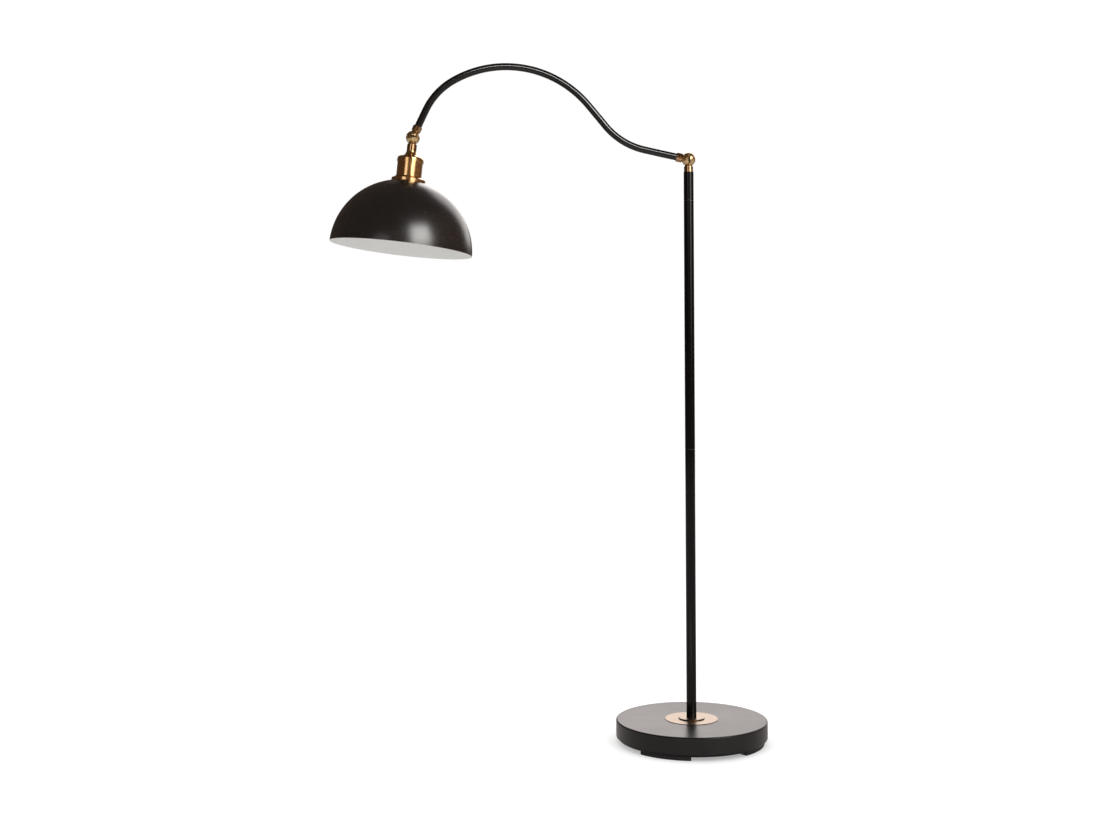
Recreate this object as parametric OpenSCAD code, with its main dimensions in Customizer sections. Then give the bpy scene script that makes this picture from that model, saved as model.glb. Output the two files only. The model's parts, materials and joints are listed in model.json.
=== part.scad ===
// Bridge floor lamp: a round weighted base, a three-piece pole, a cranked arm on a ball pivot
// and a domed metal shade on a second ball pivot.
// The origin is on the pole's axis at the floor. +Z is up and the arm reaches towards -X.
// Both pivots turn about Y, and their slotted heads face -Y, the front of the lamp.

/* [Base] */
// Diameter of the base cover
base_d = 320; // [280:1:360]
// Height of the base cover
base_h = 35.5; // [33:0.5:40]
// Sheet thickness of the base cover
cover_t = 1.2; // [0.8:0.1:2]
// Radius of the cover's top edge
cover_round = 3; // [2.5:0.5:6]
// Thickness of the iron ballast disc
ballast_t = 12; // [8:1:16]
// Gap between the ballast and the bottom plate's round
ballast_gap = 0.5; // [0.5:0.1:3]
// Diameter of the hub that carries the cover's top
hub_d = 70; // [60:1:90]
// Diameter of the recess under the hub
recess_d = 46; // [40:1:52]
// Sheet thickness of the bottom plate
plate_t = 1.5; // [1:0.1:1.8]
// Radius of the bottom plate's lower edge
plate_round = 2.5; // [2:0.5:4]
// Gap between the skirt and the bottom plate's rim
plate_gap = 2.8; // [2:0.1:5]
// Distance that the bottom plate's rim reaches up inside the skirt
plate_lap = 2; // [1:0.5:4]
// Radius of the circle that the bottom plate's screws lie on
plate_screw_r = 95; // [80:1:100]

/* [Foot pads] */
// Number of foot pads
pad_count = 4; // [3:1:4]
// Thickness of a foot pad
pad_t = 8; // [5:0.5:10]
// Width of a foot pad
pad_w = 25; // [15:1:30]
// Angle that a foot pad spans
pad_arc = 43; // [30:1:80]
// Distance from the bottom plate's round to a pad
pad_inset = 0.5; // [0:0.5:10]
// Height of the skirt's bottom edge above the floor
pad_drop = 13.5; // [12:0.5:16]
// Angle from +X at which the first pad's middle lies
pad_turn = 61; // [45:1:80]

/* [Cord inlet and inner flex] */
// Diameter of the sheathed flex inside the lamp
flex_d = 6; // [5:0.5:6.5]
// Gap between the flex and the bores that it passes through
flex_gap = 0.7; // [0.4:0.1:0.8]
// Radius of the flex's bend under the pole
flex_bend_r = 12; // [10:1:12]
// Diameter of the hole for the grommet in the skirt
inlet_d = 9.5; // [9:0.5:9.5]
// Diameter of the grommet's flange
grommet_d = 15; // [13.5:0.5:16]

/* [Rosette and flange] */
// Diameter of the brass rosette on the base
rosette_d = 112; // [80:1:140]
// Thickness of the rosette
rosette_t = 1; // [0.8:0.1:3]
// Diameter of the flange under the pole
flange_d = 55; // [40:1:70]
// Thickness of the flange
flange_t = 2.5; // [2:0.5:5]

/* [Pole] */
// Outer diameter of the pole
pole_d = 21; // [20.5:0.5:25]
// Wall of the pole's tubes
pole_wall = 1.2; // [0.9:0.1:1.5]
// Length of the lower tube
pole_lower_l = 569; // [400:1:700]
// Length of the middle tube
pole_middle_l = 524; // [400:1:700]
// Length of the upper tube
pole_upper_l = 60; // [50:1:200]
// Thickness of the coupler's ring that shows between two tubes
coupler_ring_t = 0.8; // [0.5:0.1:3]
// Length of the coupler's spigot in each tube
coupler_l = 15; // [10:1:18]
// Length of the threaded bush in the pole's foot
foot_bush_l = 20; // [14:1:40]
// Length of the threaded bush in the pole's top
top_bush_l = 14; // [13:1:20]

/* [Threaded fittings] */
// Outer diameter of the hollow threaded nipples
nipple_d = 10; // [10:0.5:11]
// Thickness of a lock nut
nut_h = 4; // [3:0.5:5]
// Width of a lock nut across its flats
nut_af = 15; // [14:0.5:16]
// Diameter of the clamping washer under the base
washer_d = 32; // [24:1:38]
// Thickness of the clamping washer
washer_t = 2; // [1:0.5:3]

/* [Ball pivots] */
// Diameter of the pivots' balls
ball_d = 29; // [27:1:32]
// Thickness of the two inner halves of a ball, from the middle
half_t = 6; // [5.5:0.5:7]
// Thickness of the friction washer between the halves
friction_t = 0.8; // [0.5:0.1:1.2]
// Diameter of the pivot screw's shank
shank_d = 6; // [5:0.5:7]
// Width of the screwdriver slot
slot_w = 5; // [2:0.5:6]
// Depth of the screwdriver slot
slot_h = 4; // [2:0.5:5]
// Angle of the upper pivot's slot from the vertical
upper_slot_turn = 0; // [-90:5:90]
// Angle of the lower pivot's slot from the vertical
lower_slot_turn = 85; // [-90:5:90]
// Diameter of the neck on the pole
neck_d = 19.4; // [18.5:0.1:20.4]
// Distance from the pole's top to the upper pivot
neck_l = 27; // [22:1:40]
// Diameter of the collars on the arm
collar_d = 19.6; // [18.4:0.1:21]
// Distance from the upper pivot to the end of its collar
upper_collar_l = 26.5; // [24:0.5:36]
// Distance from the lower pivot to the end of its collar
lower_collar_l = 25.5; // [24:0.5:36]
// Bevel between a neck and its ball
neck_bevel = 2; // [1:0.1:3]
// Running clearance between a neck and the other half of the ball
turn_gap = 0.4; // [0.3:0.1:0.8]

/* [Arm] */
// Outer diameter of the arm's tube
arm_d = 15; // [13:0.5:16]
// Wall of the arm's tube
arm_wall = 1.2; // [0.8:0.1:2]
// Rise of the arm at the upper pivot, in degrees
arm_rise = 12; // [5:1:20]
// Length of the nearly straight root, from the upper pivot to the first bend
root_l = 96; // [60:1:120]
// Radius of the first bend
hollow_r = 149; // [100:1:220]
// Slope at the end of the first bend, in degrees
climb_angle = 51; // [40:1:60]
// Length of the nearly straight slope
climb_l = 56.5; // [20:0.5:90]
// Radius of the arm's crown
crown_r = 225; // [180:1:260]
// Fall at the end of the crown, in degrees
crown_fall = 30; // [15:1:45]
// Radius of the last bend
drop_r = 141; // [80:1:180]
// Fall of the arm at the lower pivot, in degrees
drop_angle = 65; // [55:1:80]
// Length of the nearly straight end, from the last bend to the lower pivot
tail_l = 64.5; // [50:0.5:90]
// Bow of each nearly straight stretch, in degrees
bow = 1; // [0.5:0.1:2]

/* [Shade cup] */
// Tilt of the shade's axis, in degrees
head_tilt = 6.5; // [0:0.5:30]
// Diameter of the stem under the lower ball
stem_d = 20.4; // [19:0.1:21.4]
// Distance from the lower pivot to the top of the cap
stem_l = 29; // [26:1:40]
// Height of the cap
cap_h = 23.4; // [22:0.2:28]
// Radius of the cap's hollow flare
flare_r = 14; // [11:1:14]
// Radius of the cap's shoulder
cap_round = 4.5; // [3:0.5:6]
// Diameter of the cup's sleeve
sleeve_d = 53; // [50:1:58]
// Wall of the cap, the sleeve and the gallery
cup_wall = 1; // [0.8:0.1:1.4]
// Length of the sleeve that shows between cap and gallery
sleeve_l = 31.1; // [24:0.1:50]
// Depth of the sleeve's end inside the cap
sleeve_lap = 6; // [3:0.5:8]
// Height of the rolled bead at the sleeve's foot
bead_h = 2; // [1:0.5:4]
// Diameter of the gallery that sits on the shade
gallery_d = 71; // [66:1:80]
// Height of the gallery
gallery_h = 10.5; // [8:0.5:16]
// Height of the gallery's outer edge
gallery_edge_h = 6.3; // [3:0.1:7]

/* [Lampholder] */
// Inner diameter of the threaded shell
shell_bore = 26.6; // [26.5:0.05:26.8]
// Wall of the threaded shell
shell_wall = 0.6; // [0.4:0.1:0.8]
// Length of the threaded shell
shell_l = 25; // [20:1:26]
// Depth of the lampholder's well
well_h = 30; // [28:1:34]
// Diameter of the lampholder's threaded skirt
skirt_d = 39.4; // [38:0.2:39.8]
// Length of the skirt below the gallery
skirt_l = 23; // [14:1:30]
// Diameter of the lampholder's shoulder
shoulder_d = 46; // [44:1:49]
// Thickness of the shoulder
shoulder_t = 4; // [3:0.5:6]
// Depth of the wiring space above the lampholder's floor
wiring_h = 22; // [18:1:24]
// Wall of the lampholder's cap
holder_wall = 1.8; // [1.4:0.1:2.2]

/* [Shade] */
// Radius of the sphere that the shade follows
shade_r = 150; // [120:1:180]
// Sheet thickness of the shade
shade_t = 1; // [0.8:0.1:2]
// Height of the rim above the sphere's equator
shade_lift = 5; // [0:1:30]
// Radius of the flat seat round the shade's hole
seat_r = 34; // [31:0.5:34.5]
// Diameter of the hole in the shade and in the gallery
shade_hole_d = 40.4; // [40.2:0.2:41.4]
// Diameter of the ring that clamps the shade
shade_ring_d = 56; // [50:1:58]
// Thickness of the shade ring
shade_ring_t = 6; // [4:0.5:9]

/* [Hidden] */

$fn = 96;
big_fn = 240;
// Overlap of a cutting shape past the face that it cuts
cut = 1;
// Radial clearance of threads and spigots, and of a hole that a part passes through
thread_gap = 0.05;
pass_gap = 0.2;
// Radial clearance of the arm's bowed tube in its straight collars
collar_gap = 0.12;

// Heights in the base, from the floor
skirt_z = pad_drop;
base_top_z = skirt_z + base_h;
plate_z = pad_t;
plate_h = skirt_z + plate_lap - plate_z;
ballast_z = plate_z + plate_t;
flex_z = skirt_z + grommet_d / 2 + 0.5;
base_nipple_z = flex_z + flex_bend_r;
lock_nut_z = base_nipple_z + cut;
recess_z = lock_nut_z + nut_h + washer_t;
base_r = base_d / 2;
plate_r = base_r - cover_t - plate_gap;
pad_r = plate_r - plate_round - pad_inset;
ballast_r = plate_r - plate_round - ballast_gap;
channel_w = flex_d + 4;
channel_h = flex_z + flex_d - ballast_z;
inlet_lip_t = 1.6;
plate_screw_d = 4;
plate_screw_l = plate_t + 7;
plate_screw_head_d = 8;
plate_screw_head_h = 2.4;

// Heights along the pole, from the floor
rosette_z = base_top_z;
flange_z = rosette_z + rosette_t;
pole_z = flange_z + flange_t;
coupler_lower_z = pole_z + pole_lower_l;
pole_middle_z = coupler_lower_z + coupler_ring_t;
coupler_upper_z = pole_middle_z + pole_middle_l;
pole_upper_z = coupler_upper_z + coupler_ring_t;
pole_top_z = pole_upper_z + pole_upper_l;
pole_bore_r = pole_d / 2 - pole_wall;
nipple_r = nipple_d / 2;
flex_bore_r = flex_d / 2 + flex_gap;
coupler_bore_r = 6;

// Ball pivots
ball_r = ball_d / 2;
chamber_r = ball_r - 4;
chamber_h = half_t - friction_t / 2 - 1.6;
boss_r = shank_d / 2 + 2;
flex_end = ball_r + turn_gap + 1;
tube_end = ball_r + 3;

// The arm's route is a chain of arcs from the upper pivot. Headings are degrees above -X,
// and points are where an arc starts, from that pivot.
pivot_1 = [0, 0, pole_top_z + neck_l];
h_root = arm_rise;
h_hollow = h_root + bow;
h_climb = climb_angle;
h_crown = h_climb - bow;
h_drop = -crown_fall;
h_tail = bow - drop_angle;
h_end = -drop_angle;
// Radius of a stretch of length l that bows by the bow
function bowed_r(l) = round(l * 180 / PI / bow);
root_r = bowed_r(root_l);
climb_r = bowed_r(climb_l);
tail_r = bowed_r(tail_l);
// A unit step across the route, towards the side that a rising bend turns to
function across(h) = [sin(h), 0, cos(h)];
function bend_centre(p, r, h_from, h_to) = p + sign(h_to - h_from) * r * across(h_from);
function bend_end(p, r, h_from, h_to) =
    bend_centre(p, r, h_from, h_to) - sign(h_to - h_from) * r * across(h_to);
root = [0, 0, 0];
hollow = bend_end(root, root_r, h_root, h_hollow);
climb = bend_end(hollow, hollow_r, h_hollow, h_climb);
crown = bend_end(climb, climb_r, h_climb, h_crown);
drop = bend_end(crown, crown_r, h_crown, h_drop);
tail = bend_end(drop, drop_r, h_drop, h_tail);
pivot_2 = pivot_1 + bend_end(tail, tail_r, h_tail, h_end);

// Distances down the shade's axis, from the lower pivot
cap_d1 = stem_l;
cap_roof = cap_d1 + 5;
head_nut_d1 = cap_roof;
holder_d1 = head_nut_d1 + nut_h + 2;
cap_d2 = cap_d1 + cap_h;
sleeve_d1 = cap_d2 - sleeve_lap;
gallery_d1 = cap_d2 + sleeve_l;
shade_d1 = gallery_d1 + gallery_h;
gallery_floor_t = 1.5;
shoulder_d2 = shade_d1 - gallery_floor_t;
skirt_d2 = shoulder_d2 + skirt_l;
well_d1 = skirt_d2 - well_h;
holder_floor_t = 5;
wiring_d2 = well_d1 - holder_floor_t;
holder_body_d1 = wiring_d2 - wiring_h;
holder_lap = 8;
contact_h = 3;
shell_d2 = skirt_d2 - 1;

// Sizes of the shade cup and lampholder
sleeve_r = sleeve_d / 2;
cap_cavity_r = sleeve_r + 0.05;
cap_r = cap_cavity_r + cup_wall;
cap_lip_r = cap_r + 0.5;
cap_lip_h = 4;
cap_shoulder_d = cap_d1 + 12.5;
flare_x = stem_d / 2 + flare_r;
gallery_r = gallery_d / 2;
holder_cap_r = skirt_d / 2 + thread_gap + holder_wall;
shell_r = shell_bore / 2 + shell_wall;
well_r = shell_r + pass_gap;
terminal_y = 9;
terminal_w = 6;
terminal_h = 9;
core_d = 2.4;
core_spread = 1.4;
core_d1 = holder_d1 + 8;
// The bare wire that each core ends in, and how far above its terminal it starts
wire_d = 1.6;
wire_rise = 2;

// Shade
shade_center_d = shade_d1 + sqrt(shade_r * shade_r - seat_r * seat_r);
rim_d = shade_center_d - shade_lift;

// A square hung from its upper left corner at radius r and distance d, in a profile of the shade cup
module drop_square(r, d, w, h) {
    translate([r, -d - h]) square([w, h]);
}

module ring_2d(r_out, r_in) {
    difference() {
        circle(r = r_out);
        circle(r = r_in);
    }
}

module tube(r_out, r_in, h) {
    linear_extrude(h) ring_2d(r_out, r_in);
}

module hex_nut(af, bore_r, h) {
    linear_extrude(h) difference() {
        circle(d = af / cos(30), $fn = 6);
        circle(r = bore_r);
    }
}

// A round bar or bore along +Y from y_from to y_to
module along_y(r, y_from, y_to) {
    translate([0, y_from, 0]) rotate([-90, 0, 0]) cylinder(r = r, h = y_to - y_from);
}

// Half of the outline of a disc whose upper edge is rounded
module rounded_disc_2d(r, h, edge) {
    square([r - edge, h]);
    square([r, h - edge]);
    translate([r - edge, h - edge]) circle(r = edge);
}

// Half of the outline of a disc whose upper edge is bevelled, with a hole
module bevelled_ring_2d(r, hole_r, h, bevel) {
    polygon([[hole_r, 0], [r, 0], [r, h - bevel], [r - bevel, h], [hole_r, h]]);
}

// Places a pivot's or a route's local +Z along the heading h
module at_route(p, h) {
    translate(p) rotate([0, h - 90, 0]) children();
}

// Moves by a whole number of hundredths and then by the rest, so that neighbours meet exactly
module fine_move(p) {
    coarse = [for (v = p) round(v * 100) / 100];
    translate(coarse) translate(p - coarse) children();
}

// One arc of the route as a round bar, cut back by an angle at either end
module route_arc(p, r, h_from, h_to, bar_r, trim_from = 0, trim_to = 0) {
    first = h_to > h_from ? 270 - h_to + trim_to : 90 - h_from + trim_from;
    fine_move(bend_centre(p, r, h_from, h_to)) rotate([90, 0, 0])
        rotate_extrude(start = first, angle = abs(h_to - h_from) - trim_from - trim_to, $fn = big_fn)
            translate([r, 0]) circle(r = bar_r, $fn = 96);
}

// The arm's route as a round bar that ends a distance short of either pivot
module arm_bar(bar_r, inset) {
    route_arc(root, root_r, h_root, h_hollow, bar_r, trim_from = inset / root_r * 180 / PI);
    route_arc(hollow, hollow_r, h_hollow, h_climb, bar_r);
    route_arc(climb, climb_r, h_climb, h_crown, bar_r);
    route_arc(crown, crown_r, h_crown, h_drop, bar_r);
    route_arc(drop, drop_r, h_drop, h_tail, bar_r);
    route_arc(tail, tail_r, h_tail, h_end, bar_r, trim_to = inset / tail_r * 180 / PI);
}

// ---- Ball pivots ----
// Each is modelled with its centre at the origin and the pivot along Y.
// From the front it is a slotted head, a half with its neck, a friction washer,
// the other half with its neck, and a domed nut.

// The slice of the ball from y_from to y_to, on the rear side
module ball_slice_2d(y_from, y_to) {
    intersection() {
        circle(r = ball_r);
        translate([0, y_from]) square([ball_r, y_to - y_from]);
    }
}

// Turns a profile about Y, on the rear side, or on the front side for side -1
module turn_y(side) {
    rotate([side * -90, 0, 0]) rotate_extrude() children();
}

// One half of the ball, with its hole for the shank and its chamber for the flex
module half_ball(side) {
    mating_y = friction_t / 2;
    turn_y(side) difference() {
        ball_slice_2d(mating_y, half_t);
        translate([0, mating_y - cut]) square([shank_d / 2 + thread_gap, half_t + 2 * cut]);
        translate([boss_r, mating_y - cut]) square([chamber_r - boss_r, chamber_h + cut]);
    }
}

// A neck along +Z, hollowed to clear everything but its own half of the ball
module neck(side, r, end) {
    clear_r = ball_r + turn_gap;
    tip_r = r - neck_bevel;
    tip = sqrt(clear_r * clear_r - tip_r * tip_r);
    bevel_z = tip + 0.3;
    slab_t = half_t - friction_t / 2;
    slab_y = side > 0 ? friction_t / 2 : -half_t;
    difference() {
        rotate_extrude() polygon([
            [0, tip - cut], [tip_r, tip - cut], [tip_r, bevel_z], [r, bevel_z + neck_bevel],
            [r, end], [0, end]
        ]);
        difference() {
            sphere(r = clear_r);
            translate([-ball_d, slab_y, -ball_d]) cube([2 * ball_d, slab_t, 2 * ball_d]);
        }
    }
}

// A half of the ball with its neck and a threaded spigot, bored for the flex
module knuckle(side, r, end, spigot_l = 0) {
    difference() {
        union() {
            half_ball(side);
            neck(side, r, end);
            if (spigot_l > 0) translate([0, 0, end - cut]) cylinder(r = nipple_r, h = spigot_l + cut);
        }
        translate([0, 0, chamber_r - 1]) cylinder(r = flex_bore_r, h = end + spigot_l);
    }
}

module pivot_screw(slot_turn) {
    difference() {
        union() {
            turn_y(-1) ball_slice_2d(half_t, ball_r);
            along_y(shank_d / 2, -half_t - cut, ball_r - 3);
        }
        rotate([0, slot_turn, 0]) translate([-slot_w / 2, -ball_r - cut, -ball_r])
            cube([slot_w, slot_h + cut, ball_d]);
    }
}

module pivot_nut() {
    difference() {
        turn_y(1) ball_slice_2d(half_t, ball_r);
        along_y(shank_d / 2 + thread_gap, half_t - cut, ball_r - 2.5);
    }
}

module pivot_washer() {
    translate([0, -friction_t / 2, 0]) rotate([-90, 0, 0])
        tube(sqrt(ball_r * ball_r - half_t * half_t), chamber_r + 0.3, friction_t);
}

module at_head() {
    translate(pivot_2) rotate([0, head_tilt, 0]) children();
}

// Turns a profile of the shade cup, drawn downwards from the lower pivot
module turn_head() {
    at_head() rotate_extrude() children();
}

// ---- Base ----

module base_cover() {
    color([0.13, 0.12, 0.115]) difference() {
        translate([0, 0, skirt_z]) rotate_extrude($fn = big_fn) difference() {
            rounded_disc_2d(base_r, base_h, cover_round);
            translate([0, -cut]) rounded_disc_2d(
                base_r - cover_t, base_h - cover_t + cut, cover_round - cover_t
            );
        }
        translate([0, 0, base_top_z - cover_t - cut])
            cylinder(r = nipple_r + pass_gap, h = cover_t + 2 * cut);
        translate([0, 0, flex_z]) along_y(inlet_d / 2, base_r - 4 * cover_t, base_r + cut);
    }
}

module plate_screw_places() {
    for (i = [0 : 3]) rotate([0, 0, pad_turn + 45 + 90 * i]) translate([plate_screw_r, 0, 0])
        children();
}

module ballast_weight() {
    hub_top = base_top_z - cover_t;
    color([0.30, 0.30, 0.31]) difference() {
        union() {
            translate([0, 0, ballast_z]) cylinder(r = ballast_r, h = ballast_t, $fn = big_fn);
            translate([0, 0, ballast_z]) cylinder(d = hub_d, h = hub_top - ballast_z);
        }
        translate([0, 0, ballast_z - cut]) cylinder(d = recess_d, h = recess_z - ballast_z + cut);
        translate([0, 0, recess_z - cut])
            cylinder(r = nipple_r + pass_gap, h = hub_top - recess_z + 2 * cut);
        translate([-channel_w / 2, 0, ballast_z - cut])
            cube([channel_w, ballast_r + cut, channel_h + cut]);
        translate([0, 0, ballast_z - cut]) plate_screw_places()
            cylinder(r = plate_screw_d / 2 + thread_gap, h = plate_screw_l - plate_t + 2 * cut);
    }
}

// A shallow pan, whose rim stands inside the skirt
module base_plate() {
    color([0.16, 0.16, 0.16]) difference() {
        translate([0, 0, plate_z + plate_h]) mirror([0, 0, 1]) rotate_extrude($fn = big_fn)
            difference() {
                rounded_disc_2d(plate_r, plate_h, plate_round);
                translate([0, -cut]) rounded_disc_2d(
                    plate_r - plate_t, plate_h - plate_t + cut, plate_round - plate_t
                );
            }
        translate([0, 0, plate_z - cut]) plate_screw_places()
            cylinder(r = plate_screw_d / 2 + pass_gap, h = plate_t + 2 * cut);
    }
}

module base_plate_screws() {
    color("silver") translate([0, 0, plate_z]) plate_screw_places() {
        cylinder(d = plate_screw_d, h = plate_screw_l);
        translate([0, 0, -plate_screw_head_h]) difference() {
            cylinder(d = plate_screw_head_d, h = plate_screw_head_h);
            for (a = [0, 90]) rotate([0, 0, a]) translate([-2, -0.5, -cut]) cube([4, 1, 1 + cut]);
        }
    }
}

module foot_pads() {
    color([0.06, 0.06, 0.06]) for (i = [0 : pad_count - 1])
        rotate([0, 0, pad_turn - pad_arc / 2 + 360 / pad_count * i])
            rotate_extrude(angle = pad_arc, $fn = big_fn)
                translate([pad_r - pad_w, 0]) square([pad_w, plate_z]);
}

module cord_grommet() {
    neck_r = inlet_d / 2 - pass_gap / 2;
    outer_y = base_r;
    inner_y = base_r - cover_t;
    color([0.08, 0.08, 0.08]) translate([0, 0, flex_z]) difference() {
        union() {
            along_y(grommet_d / 2, outer_y + pass_gap, outer_y + pass_gap + inlet_lip_t);
            along_y(neck_r, inner_y - inlet_lip_t, outer_y + inlet_lip_t);
            along_y(neck_r + 0.7, inner_y - inlet_lip_t - pass_gap, inner_y - pass_gap);
        }
        along_y(flex_d / 2 + pass_gap, inner_y - 4 * cut, outer_y + 4 * cut);
    }
}

module base_rosette() {
    color([0.72, 0.52, 0.32]) translate([0, 0, rosette_z]) rotate_extrude($fn = big_fn)
        bevelled_ring_2d(rosette_d / 2, nipple_r + pass_gap, rosette_t, 0.3);
}

module pole_flange() {
    color([0.72, 0.52, 0.32]) translate([0, 0, flange_z]) rotate_extrude()
        bevelled_ring_2d(flange_d / 2, nipple_r + pass_gap, flange_t, 0.5);
}

module base_nipple() {
    color("silver") translate([0, 0, base_nipple_z])
        tube(nipple_r, flex_bore_r, pole_z + foot_bush_l - 2 - base_nipple_z);
}

module base_washer() {
    color("silver") translate([0, 0, recess_z - washer_t])
        tube(washer_d / 2, nipple_r + pass_gap, washer_t);
}

module base_lock_nut() {
    color("silver") translate([0, 0, lock_nut_z]) hex_nut(nut_af, nipple_r + thread_gap, nut_h);
}

// ---- Pole ----

module pole_tube(z, l) {
    color([0.10, 0.10, 0.10]) translate([0, 0, z]) tube(pole_d / 2, pole_bore_r, l);
}

module pole_bush(z, l) {
    color("silver") translate([0, 0, z]) tube(pole_bore_r - thread_gap, nipple_r + thread_gap, l);
}

// A ring between two tubes, with a threaded spigot up into one and down into the other
module pole_coupler(z) {
    spigot_r = pole_bore_r - thread_gap;
    color([0.55, 0.55, 0.56]) translate([0, 0, z]) rotate_extrude() polygon([
        [coupler_bore_r, -coupler_l], [spigot_r, -coupler_l], [spigot_r, 0],
        [pole_d / 2 - 0.2, 0], [pole_d / 2 - 0.2, coupler_ring_t], [spigot_r, coupler_ring_t],
        [spigot_r, coupler_ring_t + coupler_l], [coupler_bore_r, coupler_ring_t + coupler_l]
    ]);
}

module pole_foot_bush() {
    pole_bush(pole_z, foot_bush_l);
}

module pole_lower() {
    pole_tube(pole_z, pole_lower_l);
}

module pole_coupler_lower() {
    pole_coupler(coupler_lower_z);
}

module pole_middle() {
    pole_tube(pole_middle_z, pole_middle_l);
}

module pole_coupler_upper() {
    pole_coupler(coupler_upper_z);
}

module pole_upper() {
    pole_tube(pole_upper_z, pole_upper_l);
}

module pole_top_bush() {
    pole_bush(pole_top_z - top_bush_l, top_bush_l);
}

module pole_knuckle() {
    color([0.70, 0.50, 0.28]) translate(pivot_1) rotate([0, 180, 0])
        knuckle(1, neck_d / 2, neck_l, 12);
}

module pole_flex() {
    inlet_y = base_r - cover_t - inlet_lip_t - 2 * pass_gap;
    r = flex_d / 2;
    color("white") {
        translate([0, 0, flex_z]) along_y(r, flex_bend_r, inlet_y);
        translate([0, flex_bend_r, flex_z + flex_bend_r]) rotate([0, 90, 0])
            rotate_extrude(start = 270, angle = 90) translate([flex_bend_r, 0]) circle(r = r);
        translate([0, 0, flex_z + flex_bend_r])
            cylinder(r = r, h = pivot_1[2] - flex_end - flex_z - flex_bend_r);
    }
}

module arm_pivot_screw() {
    color([0.82, 0.62, 0.36]) translate(pivot_1) pivot_screw(upper_slot_turn);
}

module arm_pivot_nut() {
    color([0.82, 0.62, 0.36]) translate(pivot_1) pivot_nut();
}

module arm_pivot_washer() {
    color([0.2, 0.2, 0.2]) translate(pivot_1) pivot_washer();
}

// ---- Arm ----

// A collar that takes the end of the arm's tube
module arm_collar_knuckle(side, l) {
    difference() {
        knuckle(side, collar_d / 2, l);
        translate([0, 0, tube_end]) cylinder(r = arm_d / 2 + collar_gap, h = l);
    }
}

module arm_knuckle() {
    color([0.70, 0.50, 0.28]) at_route(pivot_1, h_root) arm_collar_knuckle(-1, upper_collar_l);
}

module arm_tube() {
    color([0.14, 0.14, 0.14]) translate(pivot_1) difference() {
        arm_bar(arm_d / 2, tube_end);
        arm_bar(arm_d / 2 - arm_wall, tube_end - cut);
    }
}

module arm_end_knuckle() {
    color([0.70, 0.50, 0.28]) at_route(pivot_2, h_end + 180) arm_collar_knuckle(1, lower_collar_l);
}

module arm_flex() {
    color("white") translate(pivot_1) arm_bar(flex_d / 2, flex_end);
}

module head_pivot_screw() {
    color([0.82, 0.62, 0.36]) translate(pivot_2) pivot_screw(lower_slot_turn);
}

module head_pivot_nut() {
    color([0.82, 0.62, 0.36]) translate(pivot_2) pivot_nut();
}

module head_pivot_washer() {
    color([0.2, 0.2, 0.2]) translate(pivot_2) pivot_washer();
}

// ---- Head ----

module head_knuckle() {
    thread_d1 = flex_end + 2;
    color([0.66, 0.46, 0.26]) at_head() rotate([0, 180, 0]) difference() {
        knuckle(-1, stem_d / 2, stem_l);
        translate([0, 0, thread_d1]) cylinder(r = nipple_r + thread_gap, h = stem_l);
    }
}

module head_nipple() {
    nipple_d1 = flex_end + 2.5;
    nipple_d2 = holder_d1 + 6;
    color("silver") at_head() translate([0, 0, -nipple_d2])
        tube(nipple_r, flex_bore_r, nipple_d2 - nipple_d1);
}

module head_lock_nut() {
    color("silver") at_head() translate([0, 0, -head_nut_d1 - nut_h])
        hex_nut(nut_af, nipple_r + thread_gap, nut_h);
}

// The cap's outline: a stem that flares through a hollow curve to a round shoulder
module cap_outline_2d() {
    difference() {
        drop_square(0, cap_d1, flare_x, cap_shoulder_d - cap_d1);
        translate([flare_x, -cap_shoulder_d + flare_r]) circle(r = flare_r);
    }
    drop_square(0, cap_shoulder_d, cap_r - cap_round, cap_d2 - cap_shoulder_d);
    drop_square(0, cap_shoulder_d + cap_round, cap_r, cap_d2 - cap_shoulder_d - cap_round);
    translate([cap_r - cap_round, -cap_shoulder_d - cap_round]) circle(r = cap_round);
    drop_square(0, cap_d2 - cap_lip_h, cap_lip_r, cap_lip_h);
}

module cup_cap() {
    nut_room_r = nut_af / 2 / cos(30) + 0.6;
    cavity_d = sleeve_d1 - 3;
    color([0.62, 0.42, 0.24]) turn_head() difference() {
        cap_outline_2d();
        drop_square(0, cap_d1 - cut, nipple_r + pass_gap, cap_h);
        drop_square(0, cap_roof, nut_room_r, cap_h);
        drop_square(0, cavity_d, cap_cavity_r - 2, cap_h);
        drop_square(0, sleeve_d1, cap_cavity_r, cap_h);
    }
}

module cup_sleeve() {
    inner_r = sleeve_r - cup_wall;
    color([0.68, 0.47, 0.27]) turn_head() {
        drop_square(inner_r, sleeve_d1, cup_wall, gallery_d1 - sleeve_d1);
        drop_square(inner_r, gallery_d1 - bead_h, cup_wall + 0.7, bead_h);
    }
}

// A dished ring that carries the sleeve and covers the shade's seat
module gallery_ring() {
    lip_r = sleeve_r - cup_wall - pass_gap / 2;
    brim_d = shade_d1 - gallery_edge_h;
    neck_r = sleeve_r + 0.5;
    color([0.60, 0.40, 0.23]) turn_head() {
        polygon([
            [lip_r - cup_wall, -gallery_d1 + 3], [lip_r, -gallery_d1 + 3], [lip_r, -gallery_d1],
            [neck_r, -gallery_d1], [gallery_r - 0.5, -brim_d], [gallery_r, -brim_d - 0.5],
            [gallery_r, -shade_d1], [shade_hole_d / 2, -shade_d1],
            [shade_hole_d / 2, -shoulder_d2], [gallery_r - 2, -shoulder_d2],
            [gallery_r - 2, -brim_d - 1], [neck_r - 0.5, -gallery_d1 - 1.5],
            [lip_r - cup_wall, -gallery_d1 - 1.5]
        ]);
    }
}

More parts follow.
